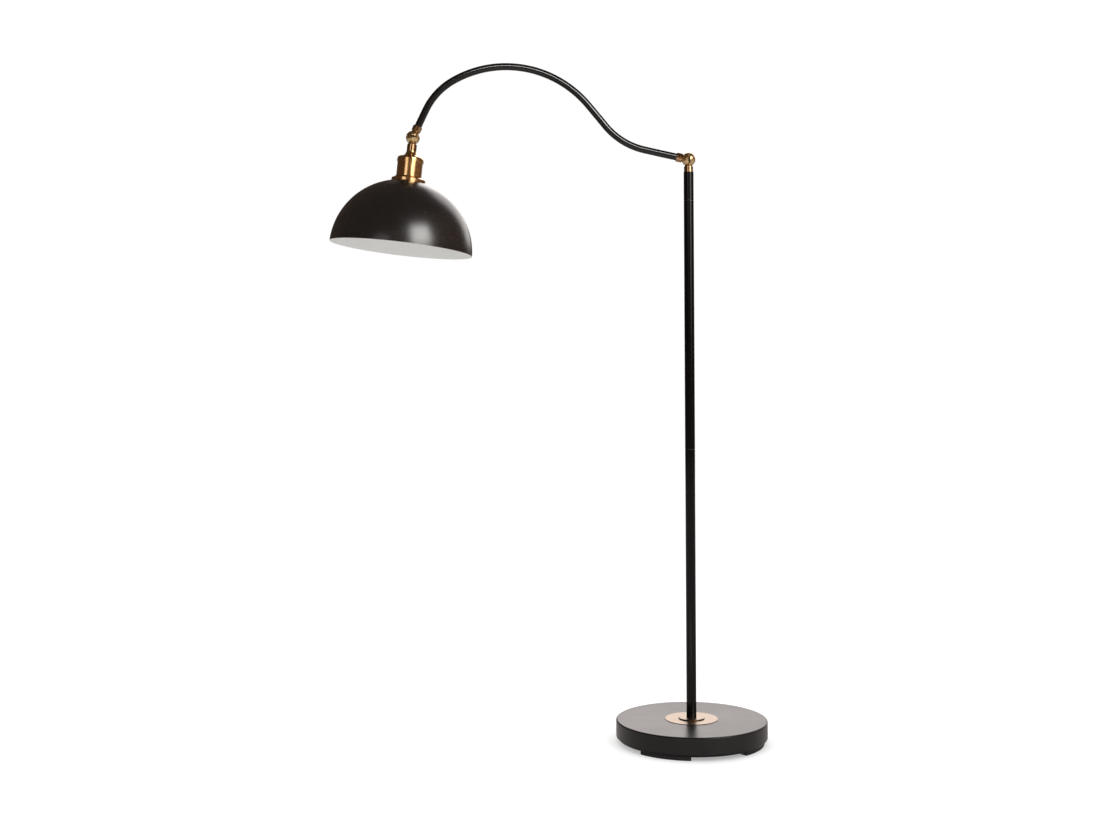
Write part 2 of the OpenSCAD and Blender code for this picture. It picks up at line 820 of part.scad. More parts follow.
module lampholder_cap() {
    inner_r = holder_cap_r - holder_wall;
    boss = 5;
    roof_d = holder_d1 + boss + 3;
    end_d = holder_body_d1 + holder_lap;
    color([0.10, 0.10, 0.10]) turn_head() polygon([
        [nipple_r + thread_gap, -holder_d1], [nipple_r + 4, -holder_d1],
        [nipple_r + 4, -holder_d1 - boss + 1], [holder_cap_r, -roof_d], [holder_cap_r, -end_d],
        [inner_r, -end_d], [inner_r, -roof_d], [nipple_r + thread_gap, -roof_d]
    ]);
}

module lampholder_body() {
    color([0.12, 0.12, 0.12]) turn_head() difference() {
        union() {
            drop_square(0, holder_body_d1, skirt_d / 2, skirt_d2 - holder_body_d1);
            drop_square(0, shoulder_d2 - shoulder_t, shoulder_d / 2, shoulder_t);
        }
        drop_square(0, holder_body_d1 - cut, skirt_d / 2 - 3, wiring_h + cut);
        drop_square(0, well_d1, well_r, well_h + cut);
    }
}

module lampholder_shell() {
    color([0.80, 0.74, 0.55]) turn_head()
        drop_square(shell_bore / 2, shell_d2 - shell_l, shell_wall, shell_l);
}

module lampholder_contact() {
    strip_w = 6;
    strip_l = 16;
    strip_t = 0.8;
    color([0.80, 0.65, 0.35]) at_head() {
        translate([-strip_l / 2, -strip_w / 2, -well_d1 - strip_t]) cube([strip_l, strip_w, strip_t]);
        translate([0, 0, -well_d1 - contact_h]) cylinder(r = 2.5, h = contact_h);
    }
}

module terminal_places() {
    for (side = [-1, 1]) at_head() translate([0, side * terminal_y, -wiring_d2]) children();
}

module lampholder_terminals() {
    color([0.78, 0.62, 0.34]) terminal_places() difference() {
        translate([-terminal_w / 2, -terminal_w / 2, 0]) cube([terminal_w, terminal_w, terminal_h]);
        translate([0, 0, terminal_h - 5]) cylinder(r = wire_d / 2 + 0.3, h = 5 + cut);
        translate([0, 0, terminal_h - 3]) rotate([0, 90, 0])
            cylinder(r = 1.5 + thread_gap, h = terminal_w);
    }
}

module terminal_screws() {
    tip_x = wire_d / 2 + 0.1;
    head_x = terminal_w / 2 + 0.2;
    color("silver") terminal_places() translate([0, 0, terminal_h - 3]) rotate([0, 90, 0]) {
        translate([0, 0, tip_x]) cylinder(r = 1.5, h = head_x - tip_x);
        translate([0, 0, head_x]) cylinder(r = 2.4, h = 1.5);
    }
}

module shade() {
    color([0.14, 0.13, 0.125]) turn_head_fine() difference() {
        shade_outline_2d(shade_r, shade_d1);
        shade_outline_2d(shade_r - shade_t, shade_d1 + shade_t);
        drop_square(0, shade_d1 - cut, shade_hole_d / 2, shade_t + 2 * cut);
        drop_square(0, rim_d, shade_r + cut, 2 * shade_r);
    }
}

module turn_head_fine() {
    at_head() rotate_extrude($fn = big_fn) children();
}

// Half of a circle about the sphere's centre, cut flat at distance d
module shade_outline_2d(r, d) {
    intersection() {
        translate([0, -shade_center_d]) circle(r = r, $fn = big_fn);
        drop_square(0, d, shade_r + cut, 2 * shade_r);
    }
}

module shade_ring() {
    ring_d1 = shade_d1 + shade_t;
    color([0.12, 0.12, 0.12]) at_head() difference() {
        rotate_extrude() difference() {
            drop_square(skirt_d / 2 + thread_gap, ring_d1, (shade_ring_d - skirt_d) / 2, shade_ring_t);
            drop_square(shade_ring_d / 2 - 3, ring_d1 + 2, 3.1, shade_ring_t);
        }
        for (i = [0 : 7]) rotate([0, 0, 45 * i])
            translate([shade_ring_d / 2 - 3, 0, -ring_d1 - shade_ring_t - cut])
                cylinder(r = 1.6, h = shade_ring_t - 2 + cut);
    }
}

// A core that leans out from the sheath and ends as a bare wire in its terminal's hole
module flex_core() {
    lean_d1 = core_d1 - cut;
    lean_d2 = wiring_d2 - terminal_h - wire_rise;
    drop = lean_d2 - lean_d1;
    step = terminal_y - core_spread;
    translate([0, core_spread, -lean_d1]) rotate([180 + atan(step / drop), 0, 0])
        cylinder(d = core_d, h = sqrt(step * step + drop * drop));
    translate([0, terminal_y, -lean_d2]) sphere(d = core_d + 0.4);
    translate([0, terminal_y, -lean_d2 - wire_rise - 4]) cylinder(d = wire_d, h = wire_rise + 4);
}

module head_flex() {
    color("white") at_head() {
        translate([0, 0, -core_d1]) cylinder(d = flex_d, h = core_d1 - flex_end);
        for (turn = [0, 180]) rotate([0, 0, turn]) flex_core();
    }
}

base_cover();
ballast_weight();
base_plate();
base_plate_screws();
foot_pads();
cord_grommet();
base_rosette();
pole_flange();
base_nipple();
base_washer();
base_lock_nut();
pole_foot_bush();
pole_lower();
pole_coupler_lower();
pole_middle();
pole_coupler_upper();
pole_upper();
pole_top_bush();
pole_knuckle();
arm_pivot_screw();
arm_pivot_nut();
arm_pivot_washer();
pole_flex();
arm_knuckle();
arm_tube();
arm_end_knuckle();
arm_flex();
head_pivot_screw();
head_pivot_nut();
head_pivot_washer();
head_knuckle();
head_nipple();
head_lock_nut();
cup_cap();
cup_sleeve();
gallery_ring();
lampholder_cap();
lampholder_body();
lampholder_shell();
lampholder_contact();
lampholder_terminals();
terminal_screws();
shade();
shade_ring();
head_flex();
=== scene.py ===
"""A bridge floor lamp: black enamelled base, pole, arm and shade, with brass pivots and cup."""

import json
import math

import bmesh
import bpy
import numpy as np
from mathutils import Matrix, Vector


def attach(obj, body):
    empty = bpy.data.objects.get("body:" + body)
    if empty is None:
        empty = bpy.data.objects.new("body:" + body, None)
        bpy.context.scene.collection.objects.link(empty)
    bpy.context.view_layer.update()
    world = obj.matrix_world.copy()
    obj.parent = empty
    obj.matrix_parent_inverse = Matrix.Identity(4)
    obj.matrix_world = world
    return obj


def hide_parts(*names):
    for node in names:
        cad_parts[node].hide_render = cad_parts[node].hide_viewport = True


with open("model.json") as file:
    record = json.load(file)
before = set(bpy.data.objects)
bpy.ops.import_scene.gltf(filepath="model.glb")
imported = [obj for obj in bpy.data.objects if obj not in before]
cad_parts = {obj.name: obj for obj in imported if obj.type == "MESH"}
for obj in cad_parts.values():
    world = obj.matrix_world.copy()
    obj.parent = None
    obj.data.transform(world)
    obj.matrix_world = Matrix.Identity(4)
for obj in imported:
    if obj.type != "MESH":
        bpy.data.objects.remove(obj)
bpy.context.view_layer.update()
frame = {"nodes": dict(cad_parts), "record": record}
NODES = frame["nodes"]

# From part.scad, in metres: both pivots, the radius of their balls, the head's tilt and axis, and how far
# down that axis from the lower pivot the centre of the shade's sphere lies
PIVOT_1 = Vector((0, 0, 1.2341))
PIVOT_2 = Vector((-0.58079, 0, 1.28159))
BALL_R = 0.0145
HEAD_TILT = math.radians(6.5)
HEAD_DOWN = Vector((-math.sin(HEAD_TILT), 0, -math.cos(HEAD_TILT)))
SPHERE_D = 0.2401


# ---------------------------------------------------------------- camera

# Fitted to the photograph: the place in metres, yaw, pitch and roll in degrees, lens and sensor in mm
CAMERA_AT = (-0.356183, -2.839342, 0.742332)
CAMERA_TURN = (1.208065, -0.798553, -0.387915)
CAMERA_LENS, CAMERA_SENSOR = 43.985, 36
CAMERA_NEAR, CAMERA_FAR = 0.05, 60


def make_camera():
    where = Vector(CAMERA_AT)
    yaw, pitch, roll = (math.radians(a) for a in CAMERA_TURN)
    forward = Vector((math.sin(yaw) * math.cos(pitch), math.cos(yaw) * math.cos(pitch), math.sin(pitch)))
    right = Vector((math.cos(yaw), -math.sin(yaw), 0))
    up = right.cross(forward)
    right, up = (right * math.cos(roll) + up * math.sin(roll),
                 up * math.cos(roll) - right * math.sin(roll))
    data = bpy.data.cameras.new("camera")
    data.sensor_width = CAMERA_SENSOR
    data.sensor_fit = "HORIZONTAL"
    data.lens = CAMERA_LENS
    data.clip_start, data.clip_end = CAMERA_NEAR, CAMERA_FAR
    cam = bpy.data.objects.new("camera", data)
    cam.matrix_world = Matrix((
        (right.x, up.x, -forward.x, where.x),
        (right.y, up.y, -forward.y, where.y),
        (right.z, up.z, -forward.z, where.z),
        (0, 0, 0, 1),
    ))
    bpy.context.scene.collection.objects.link(cam)
    bpy.context.scene.camera = cam


# ---------------------------------------------------------------- shader helpers

BEVEL_SAMPLES = 4
# How much a bevelled normal has to differ from the surface's to start and to be full as an edge
EDGE_STARTS, EDGE_FULL = 0.04, 0.20


class Nodes:
    """Short calls for the nodes that materials and the world share."""

    def __init__(self, tree):
        self.tree = tree

    def node(self, kind, **props):
        n = self.tree.nodes.new(kind)
        for k, v in props.items():
            setattr(n, k, v)
        return n

    def link(self, a, b):
        self.tree.links.new(a, b)

    def put(self, socket, value):
        """Links an output to a socket, or sets the socket's own value."""
        if isinstance(value, bpy.types.NodeSocket):
            self.link(value, socket)
        else:
            socket.default_value = value

    def math(self, op, a, b=0.0, c=0.0):
        n = self.node("ShaderNodeMath", operation=op)
        self.put(n.inputs[0], a)
        self.put(n.inputs[1], b)
        self.put(n.inputs[2], c)
        return n.outputs[0]

    def vector(self, op, a, b=(0, 0, 0)):
        n = self.node("ShaderNodeVectorMath", operation=op)
        self.put(n.inputs[0], a)
        self.put(n.inputs[1], b)
        return n.outputs["Value"] if op in ("DOT_PRODUCT", "LENGTH", "DISTANCE") else n.outputs[0]

    def remap(self, value, lo, hi, to_lo=0.0, to_hi=1.0, smooth=False):
        n = self.node("ShaderNodeMapRange", clamp=True)
        if smooth:
            n.interpolation_type = "SMOOTHSTEP"
        self.link(value, n.inputs["Value"])
        for k, v in (("From Min", lo), ("From Max", hi), ("To Min", to_lo), ("To Max", to_hi)):
            n.inputs[k].default_value = v
        return n.outputs["Result"]

    def mix(self, factor, a, b):
        n = self.node("ShaderNodeMix", data_type="RGBA")
        self.put(n.inputs["Factor"], factor)
        for socket, v in ((n.inputs[6], a), (n.inputs[7], b)):
            self.put(socket, v if isinstance(v, bpy.types.NodeSocket) else (*v, 1))
        return n.outputs[2]

    def seen(self):
        """Light Path's outputs, which tell the kinds of ray apart."""
        return self.node("ShaderNodeLightPath").outputs


class Shader(Nodes):
    """A material's node tree with short calls for the nodes that the finishes share."""

    def __init__(self, name):
        self.mat = bpy.data.materials.new(name)
        self.mat.use_nodes = True
        super().__init__(self.mat.node_tree)
        self.bsdf = self.tree.nodes["Principled BSDF"]
        self.coords = self.node("ShaderNodeTexCoord").outputs["Object"]

    def moved(self, scale=(1, 1, 1), turn=(0, 0, 0)):
        n = self.node("ShaderNodeMapping")
        self.link(self.coords, n.inputs["Vector"])
        n.inputs["Rotation"].default_value = turn
        n.inputs["Scale"].default_value = scale
        return n.outputs[0]

    def noise(self, scale, detail=2.0, rough=0.5, at=None, distortion=0.0):
        n = self.node("ShaderNodeTexNoise")
        self.link(at or self.coords, n.inputs["Vector"])
        n.inputs["Scale"].default_value = scale
        n.inputs["Detail"].default_value = detail
        n.inputs["Roughness"].default_value = rough
        n.inputs["Distortion"].default_value = distortion
        return n.outputs["Fac"]

    def cells(self, scale):
        n = self.node("ShaderNodeTexVoronoi", feature="F1")
        self.link(self.coords, n.inputs["Vector"])
        n.inputs["Scale"].default_value = scale
        return n.outputs["Distance"]

    def edge(self, radius):
        """1 along outer and inner edges within the radius, 0 on plain and gently curved surfaces."""
        geometry = self.node("ShaderNodeNewGeometry")
        same = self.vector("DOT_PRODUCT", self.rounded(radius), geometry.outputs["Normal"])
        return self.remap(self.math("SUBTRACT", 1.0, same), EDGE_STARTS, EDGE_FULL)

    def facing(self, axis):
        """How squarely the surface faces along an axis, either way, from 0 to 1."""
        split = self.node("ShaderNodeSeparateXYZ")
        self.link(self.node("ShaderNodeNewGeometry").outputs["Normal"], split.inputs[0])
        return self.math("ABSOLUTE", split.outputs[axis])

    def bump(self, height, distance, strength=1.0, under=None):
        n = self.node("ShaderNodeBump")
        n.inputs["Strength"].default_value = strength
        n.inputs["Distance"].default_value = distance
        self.link(height, n.inputs["Height"])
        if under is not None:
            self.link(under, n.inputs["Normal"])
        return n.outputs[0]

    def rounded(self, radius):
        n = self.node("ShaderNodeBevel", samples=BEVEL_SAMPLES)
        n.inputs["Radius"].default_value = radius
        return n.outputs[0]

    def finish(self, colour=None, rough=None, normal=None, **constants):
        if colour is not None:
            self.put(self.bsdf.inputs["Base Color"],
                     colour if isinstance(colour, bpy.types.NodeSocket) else (*colour, 1))
        if rough is not None:
            self.put(self.bsdf.inputs["Roughness"], rough)
        if normal is not None:
            self.link(normal, self.bsdf.inputs["Normal"])
        for k, v in constants.items():
            self.bsdf.inputs[k.replace("_", " ")].default_value = v
        return self.mat


# ---------------------------------------------------------------- finishes

# Heights of the enamel's orange peel and dust nibs, brass's turning lines and the shade's spinning
# lines, in metres
PEEL, NIB, TURNING, SPINNING = 0.000003, 0.00003, 0.000002, 0.000004
WORN, DUST = (0.070, 0.066, 0.064), (0.08, 0.08, 0.075)
DUST_SHARE = 0.2
WORN_WIDTH = 0.0008
# How far below the ball's surface the painted shade in a screw's slot starts and is full
SLOT_SHADE_STARTS, SLOT_SHADE_FULL = 0.0002, 0.0005


def dust_nibs(s, spacing, patches):
    """Specks of dust under the enamel, in patches."""
    return s.math("MULTIPLY", s.remap(s.cells(spacing), 0.0, 0.05, 1.0, 0.0),
                  s.remap(s.noise(patches, 1), 0.60, 0.66))


def worn_edges(s, patches):
    """Edges where the enamel has rubbed thin, in patches."""
    return s.math("MULTIPLY", s.edge(WORN_WIDTH), s.remap(s.noise(patches, 3), 0.45, 0.75, 0.0, 0.35))


def enamel(name, colour, rough, spec):
    """Stove enamel: a fine orange peel, faint clouds in the gloss, a few dust nibs and thin edges."""
    s = Shader(name)
    cloud = s.noise(9, 3, 0.55)
    fine = s.noise(55, 4, 0.6)
    nib = dust_nibs(s, 130, 31)
    tone = s.mix(s.remap(fine, 0.3, 0.75), [c * 0.8 for c in colour], [c * 1.2 for c in colour])
    tone = s.mix(worn_edges(s, 260), tone, WORN)
    tone = s.mix(s.math("MULTIPLY", nib, DUST_SHARE), tone, DUST)
    gloss = s.math("ADD", s.remap(cloud, 0.25, 0.75, rough - 0.02, rough + 0.03),
                   s.remap(fine, 0.2, 0.8, -0.01, 0.015))
    bump = s.bump(s.noise(420, 2, 0.5), PEEL)
    bump = s.bump(nib, NIB, 0.4, bump)
    return s.finish(tone, gloss, bump, Specular_IOR_Level=spec)


def lathe_lines(s, turn, per_metre):
    """Fine turning lines round an axis: noise that varies along the axis alone."""
    split = s.node("ShaderNodeSeparateXYZ")
    s.link(s.moved(turn=turn), split.inputs[0])
    only = s.node("ShaderNodeCombineXYZ")
    s.link(split.outputs["Z"], only.inputs["Z"])
    return s.noise(per_metre, 2, 0.6, at=only.outputs[0])


def brass(name, pale, mid, dark, rough, tarnish, turn, pivot=None, upright_shade=None, **lacquer):
    """Brass or copper alloy: cloudy tone, a little tarnish in blotches, rubbed edges and turning lines.

    With a pivot, what lies under the surface of that pivot's ball, as a screw's slot does, is darkened, most
    on the slot's walls: painted shade.
    Given a colour for upright faces, they take it: painted shade on the side walls.
    """
    s = Shader(name)
    cloud = s.noise(30, 3, 0.55, distortion=0.3)
    blot = s.noise(140, 3, 0.6)
    tone = s.mix(s.remap(cloud, 0.30, 0.70), mid, pale)
    tone = s.mix(s.remap(blot, 0.50, 0.80, 0.0, tarnish), tone, dark)
    tone = s.mix(s.math("MULTIPLY", s.edge(0.0006), 0.25), tone, [min(1, c * 1.1) for c in pale])
    if pivot is not None:
        # Painted shade in a screw's slot: darker under the ball's surface, and darker on the walls than on
        # the floor
        depth = s.vector("DISTANCE", s.coords, tuple(pivot))
        below = s.remap(depth, BALL_R - SLOT_SHADE_FULL, BALL_R - SLOT_SHADE_STARTS, 1.0, 0.0)
        wall = s.remap(s.facing("Y"), 0.3, 0.9, 1.0, 0.8)
        tone = s.mix(s.math("MULTIPLY", below, wall), tone, [c * 0.25 for c in dark])
    # Painted shade: upright faces take the darker colour
    if upright_shade is not None:
        tone = s.mix(s.remap(s.facing("Z"), 0.3, 0.8, 1.0, 0.0), tone, upright_shade)
    lines = lathe_lines(s, turn, 900)
    gloss = s.math("ADD", s.remap(cloud, 0.25, 0.75, rough - 0.02, rough + 0.03),
                   s.remap(blot, 0.45, 0.8, 0.0, 0.05))
    gloss = s.math("ADD", gloss, s.remap(lines, 0.3, 0.7, -0.01, 0.01))
    return s.finish(tone, gloss, s.bump(lines, TURNING), Metallic=1.0, **lacquer)


def plated(name, colour, rough):
    """Zinc plated steel with a crystalline mottle and fine scratches."""
    s = Shader(name)
    flake = s.cells(420)
    blot = s.noise(150, 3, 0.6)
    tone = s.mix(s.remap(flake, 0.0, 0.8), [c * 0.85 for c in colour], colour)
    tone = s.mix(s.remap(blot, 0.5, 0.8, 0.0, 0.35), tone, [c * 0.6 for c in colour])
    scratch = s.noise(700, 3, 0.7, at=s.moved(scale=(1, 1, 6)))
    gloss = s.remap(scratch, 0.3, 0.7, rough - 0.05, rough + 0.10)
    bump = s.bump(scratch, 0.00001, 0.4, s.rounded(0.0003))
    return s.finish(tone, gloss, bump, Metallic=1.0)


def casting(name):
    """Rough cast iron: sand texture, rust in the pits and a dull oxide."""
    s = Shader(name)
    sand = s.noise(420, 5, 0.7)
    pit = s.remap(s.cells(170), 0.0, 0.3, 1.0, 0.0)
    tone = s.mix(s.remap(sand, 0.3, 0.7), (0.05, 0.05, 0.052), (0.115, 0.11, 0.108))
    rust = s.math("MULTIPLY", s.remap(s.noise(26, 4, 0.6), 0.5, 0.72), 0.55)
    tone = s.mix(rust, tone, (0.12, 0.055, 0.028))
    bump = s.bump(sand, 0.0003, 0.7, s.rounded(0.0012))
    bump = s.bump(pit, 0.0002, 0.3, bump)
    return s.finish(tone, s.remap(sand, 0.3, 0.7, 0.62, 0.85), bump, Metallic=0.35)


def rubber(name):
    s = Shader(name)
    grit = s.noise(900, 3, 0.6)
    dust = s.remap(s.noise(40, 4, 0.6), 0.5, 0.8, 0.0, 0.35)
    tone = s.mix(dust, (0.016, 0.015, 0.015), (0.055, 0.052, 0.048))
    bump = s.bump(grit, 0.00008, 0.6, s.rounded(0.0008))
    return s.finish(tone, s.remap(grit, 0.3, 0.7, 0.66, 0.82), bump, Specular_IOR_Level=0.3)


def moulded(name, colour, rough, spec=0.45):
    """Pressed phenolic or fibre: faint flow marks, a fine texture and rubbed edges."""
    s = Shader(name)
    flow = s.noise(60, 3, 0.6, at=s.moved(scale=(1, 1, 0.3)), distortion=0.8)
    grain = s.noise(1200, 2, 0.6)
    tone = s.mix(s.remap(flow, 0.3, 0.7), [c * 0.8 for c in colour], [c * 1.25 for c in colour])
    tone = s.mix(s.math("MULTIPLY", s.edge(0.0008), 0.3), tone, [min(1, c * 2 + 0.02) for c in colour])
    bump = s.bump(grain, 0.00002, 0.5, s.rounded(0.0004))
    return s.finish(tone, s.remap(flow, 0.25, 0.75, rough - 0.05, rough + 0.07), bump,
                    Specular_IOR_Level=spec)


def sheath(name, colour):
    """The flex's soft sheath: slight waves along it and handling marks."""
    s = Shader(name)
    mark = s.noise(45, 4, 0.6)
    fine = s.noise(800, 2, 0.6)
    tone = s.mix(s.remap(mark, 0.35, 0.75), [c * 0.86 for c in colour], colour)
    bump = s.bump(fine, 0.00004, 0.4, s.bump(s.noise(90, 2), 0.0002, 0.3))
    return s.finish(tone, s.remap(mark, 0.3, 0.7, 0.42, 0.58), bump, Specular_IOR_Level=0.4)


def shade_paint(name):
    """One sheet, dark enamel outside and white inside, told apart by facing the shade's centre or not."""
    s = Shader(name)
    centre = PIVOT_2 + HEAD_DOWN * SPHERE_D
    geometry = s.node("ShaderNodeNewGeometry")
    outward = s.vector("SUBTRACT", s.coords, tuple(centre))
    local = s.node("ShaderNodeVectorTransform", vector_type="NORMAL",
                   convert_from="WORLD", convert_to="OBJECT")
    s.link(geometry.outputs["True Normal"], local.inputs[0])
    facing = s.vector("DOT_PRODUCT", outward, local.outputs[0])
    inside = s.math("LESS_THAN", facing, -0.002)
    cloud = s.noise(9, 3, 0.55)
    fine = s.noise(55, 4, 0.6)
    spun = lathe_lines(s, (0, -HEAD_TILT, 0), 60)
    dark = s.mix(s.remap(fine, 0.3, 0.75), (0.0075, 0.0062, 0.0060), (0.0105, 0.0088, 0.0084))
    dark = s.mix(s.math("MULTIPLY", dust_nibs(s, 120, 27), DUST_SHARE), dark, DUST)
    dark = s.mix(worn_edges(s, 240), dark, WORN)
    white = s.mix(s.remap(fine, 0.3, 0.75), (0.85, 0.84, 0.825), (0.88, 0.87, 0.855))
    tone = s.mix(inside, dark, white)
    gloss = s.math("ADD", s.remap(cloud, 0.25, 0.75, 0.24, 0.29),
                   s.remap(spun, 0.3, 0.7, -0.01, 0.01))
    gloss = s.math("ADD", gloss, s.math("MULTIPLY", inside, 0.12))
    bump = s.bump(s.noise(420, 2, 0.5), PEEL)
    bump = s.bump(spun, SPINNING, 1.0, bump)
    return s.finish(tone, gloss, bump, Specular_IOR_Level=0.9)


def dress_nodes():
    """Gives every CAD node its finish, and returns the finishes by material slot."""
    # Turns that bring the axis that a piece was turned about upright
    up, along_y, along_head = (0, 0, 0), (math.pi / 2, 0, 0), (0, -HEAD_TILT, 0)
    lacquer = {"Coat_Weight": 0.5, "Coat_Roughness": 0.12}
    black = enamel("black_enamel", (0.0025, 0.0022, 0.0022), 0.13, 0.22)
    arm_black = enamel("arm_enamel", (0.0040, 0.0035, 0.0034), 0.14, 0.45)
    base_black = enamel("base_enamel", (0.0066, 0.0057, 0.0053), 0.29, 0.40)
    # The rosette's and flange's brass: colours darkened well below brass's own, as painted shade that
    # offsets the bright boxes it mirrors; upright faces are darker still, as painted shade
    satin = brass("satin_brass", (0.365, 0.285, 0.215), (0.33, 0.255, 0.19), (0.22, 0.14, 0.08),
                  0.34, 0.15, up, upright_shade=(0.10, 0.055, 0.022))
    ball_look = ((0.84, 0.62, 0.33), (0.76, 0.54, 0.27), (0.34, 0.19, 0.08), 0.33, 0.20, along_y)
    ball = brass("ball_brass", *ball_look)
    upper_screw = brass("upper_screw_brass", *ball_look, pivot=PIVOT_1)
    lower_screw = brass("lower_screw_brass", *ball_look, pivot=PIVOT_2)
    neck = brass("neck_brass", (0.44, 0.27, 0.13), (0.37, 0.22, 0.10), (0.18, 0.09, 0.04),
                 0.15, 0.20, up, **lacquer)
    cup = brass("antique_copper", (0.74, 0.47, 0.21), (0.66, 0.39, 0.17), (0.22, 0.10, 0.04),
                0.17, 0.20, along_head, **lacquer)
    socket = brass("socket_brass", (0.84, 0.72, 0.44), (0.74, 0.60, 0.34), (0.35, 0.24, 0.12),
                   0.26, 0.25, along_head)
    zinc = plated("zinc_steel", (0.60, 0.60, 0.61), 0.34)
    coupler = plated("blackened_steel", (0.16, 0.16, 0.16), 0.50)
    black_moulded = moulded("black_phenolic", (0.020, 0.018, 0.017), 0.30)
    finishes = {
        "black_enamel": black, "cast_iron": casting("cast_iron"), "zinc_steel": zinc,
        "rubber": rubber("rubber"), "satin_brass": satin, "bright_brass": ball,
        "antique_copper": cup, "socket_brass": socket, "black_phenolic": black_moulded,
        "fibre_washer": moulded("fibre_washer", (0.055, 0.035, 0.028), 0.6, 0.3),
        "white_flex": sheath("white_flex", (0.72, 0.71, 0.68)),
    }
    special = {"base_cover": base_black, "shade": shade_paint("shade_enamel"),
               "arm_tube": arm_black, "head_knuckle": neck, "pole_knuckle": neck,
               "arm_knuckle": neck, "arm_end_knuckle": neck,
               "pole_coupler_lower": coupler, "pole_coupler_upper": coupler,
               "arm_pivot_screw": upper_screw, "head_pivot_screw": lower_screw}
    slots = {s["node"]: s["material_slot"] for s in frame["record"]["subparts"]}
    for name, obj in NODES.items():
        obj.data.materials.clear()
        obj.data.materials.append(special.get(name, finishes[slots[name]]))
    return finishes


# ---------------------------------------------------------------- shading of the CAD meshes

# Corners are merged on a grid with this many steps to the metre, and faces whose normals differ by less
# than this angle in degrees are shaded as one surface
GRID, SMOOTH_BELOW = 2e6, 28
# A face, a length or a sum of normals below these counts as nothing
NO_FACE, NO_LENGTH, NO_SUM = 1e-16, 1e-20, 1e-9


def smooth_normals(obj):
    """Shades curved faces smoothly across seams and keeps true edges sharp."""
    mesh = obj.data
    count = len(mesh.loops)
    co = np.empty(len(mesh.vertices) * 3)
    mesh.vertices.foreach_get("co", co)
    co = co.reshape(-1, 3)
    corner_vertex = np.empty(count, np.int64)
    mesh.loops.foreach_get("vertex_index", corner_vertex)
    tris = corner_vertex.reshape(-1, 3)
    key = np.unique(np.round(co * GRID).astype(np.int64), axis=0, return_inverse=True)[1].ravel()
    a, b, c = (co[tris[:, i]] for i in range(3))
    cross = np.cross(b - a, c - a)
    size = np.linalg.norm(cross, axis=1)
    face_normal = cross / np.maximum(size, NO_LENGTH)[:, None]

    def angle(p, q, r):
        u, v = q - p, r - p
        nu, nv = np.linalg.norm(u, axis=1), np.linalg.norm(v, axis=1)
        return np.arccos(np.clip((u * v).sum(1) / np.maximum(nu * nv, NO_LENGTH), -1, 1))

    weight = np.stack([angle(a, b, c), angle(b, c, a), angle(c, a, b)], 1) * size[:, None]
    weight[size < NO_FACE] = 0
    weight = weight.ravel()
    face_of = np.repeat(np.arange(len(tris)), 3)
    spot = key[corner_vertex]
    order = np.argsort(spot, kind="stable")
    start = np.searchsorted(spot[order], np.arange(spot.max() + 2))
    per = np.diff(start)[spot]
    total = per.sum()
    left = np.repeat(np.arange(count), per)
    offset = np.arange(total) - np.repeat(np.cumsum(per) - per, per)
    right = order[start[spot[left]] + offset]
    same_way = (face_normal[face_of[left]] * face_normal[face_of[right]]).sum(1)
    close = same_way > math.cos(math.radians(SMOOTH_BELOW))
    left, right = left[close], right[close]
    out = np.zeros((count, 3))
    np.add.at(out, left, face_normal[face_of[right]] * weight[right][:, None])
    length = np.linalg.norm(out, axis=1)
    plain = length < NO_SUM
    out[plain] = face_normal[face_of[plain.nonzero()[0]]]
    out /= np.maximum(np.linalg.norm(out, axis=1), NO_LENGTH)[:, None]
    mesh.polygons.foreach_set("use_smooth", np.ones(len(mesh.polygons), bool))
    mesh.normals_split_custom_set(out.tolist())
    mesh.update()


# ---------------------------------------------------------------- pieces formed here

def add_piece(name, verts, faces, body, material, node):
    """Puts a mesh of this script in the place of a CAD node."""
    mesh = bpy.data.meshes.new(name)
    mesh.from_pydata([tuple(v) for v in verts], [], faces)
    mesh.update()
    bm = bmesh.new()
    bm.from_mesh(mesh)
    bmesh.ops.recalc_face_normals(bm, faces=bm.faces)
    bm.to_mesh(mesh)
    bm.free()
    mesh.polygons.foreach_set("use_smooth", np.ones(len(mesh.polygons), bool))
    piece = bpy.data.objects.new(name, mesh)
    bpy.context.scene.collection.objects.link(piece)
    mesh.materials.append(material)
    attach(piece, body)
    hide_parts(node)
    return piece


def ring_faces(rows, columns):
    """Quads that close a grid of rings into a tube whose last ring joins its first."""
    faces = []
    for i in range(rows):
        for j in range(columns):
            a, b = i * columns, (i + 1) % rows * columns
            k = (j + 1) % columns
            faces.append((a + j, a + k, b + k, b + j))
    return faces


def threaded_shell(material):
    """The lampholder's E27 shell: thin sheet rolled into a round thread, plain at both lips."""
    top, bottom, pitch = 0.0895, 0.1145, 0.003629
    crest, root, sheet, lip = 0.01330, 0.01235, 0.00035, 0.0016
    rows, columns = 120, 72
    side = Vector((-HEAD_DOWN.z, 0, HEAD_DOWN.x))
    front = Vector((0, -1, 0))
    verts = []
    for wall in (0.0, sheet):
        for i in range(rows):
            k = i / (rows - 1) if wall == 0.0 else 1 - i / (rows - 1)
            depth = top + (bottom - top) * k
            fade = min(1, (depth - top) / lip, (bottom - depth) / lip)
            for j in range(columns):
                turn = 2 * math.pi * j / columns
                wave = 0.5 + 0.5 * math.cos(2 * math.pi * depth / pitch - turn)
                r = crest - (crest - root) * wave * fade + wall
                verts.append(PIVOT_2 + HEAD_DOWN * depth
                             + side * (r * math.cos(turn)) + front * (r * math.sin(turn)))
    add_piece("e27_shell", verts, ring_faces(2 * rows, columns), "head", material,
              "lampholder_shell")


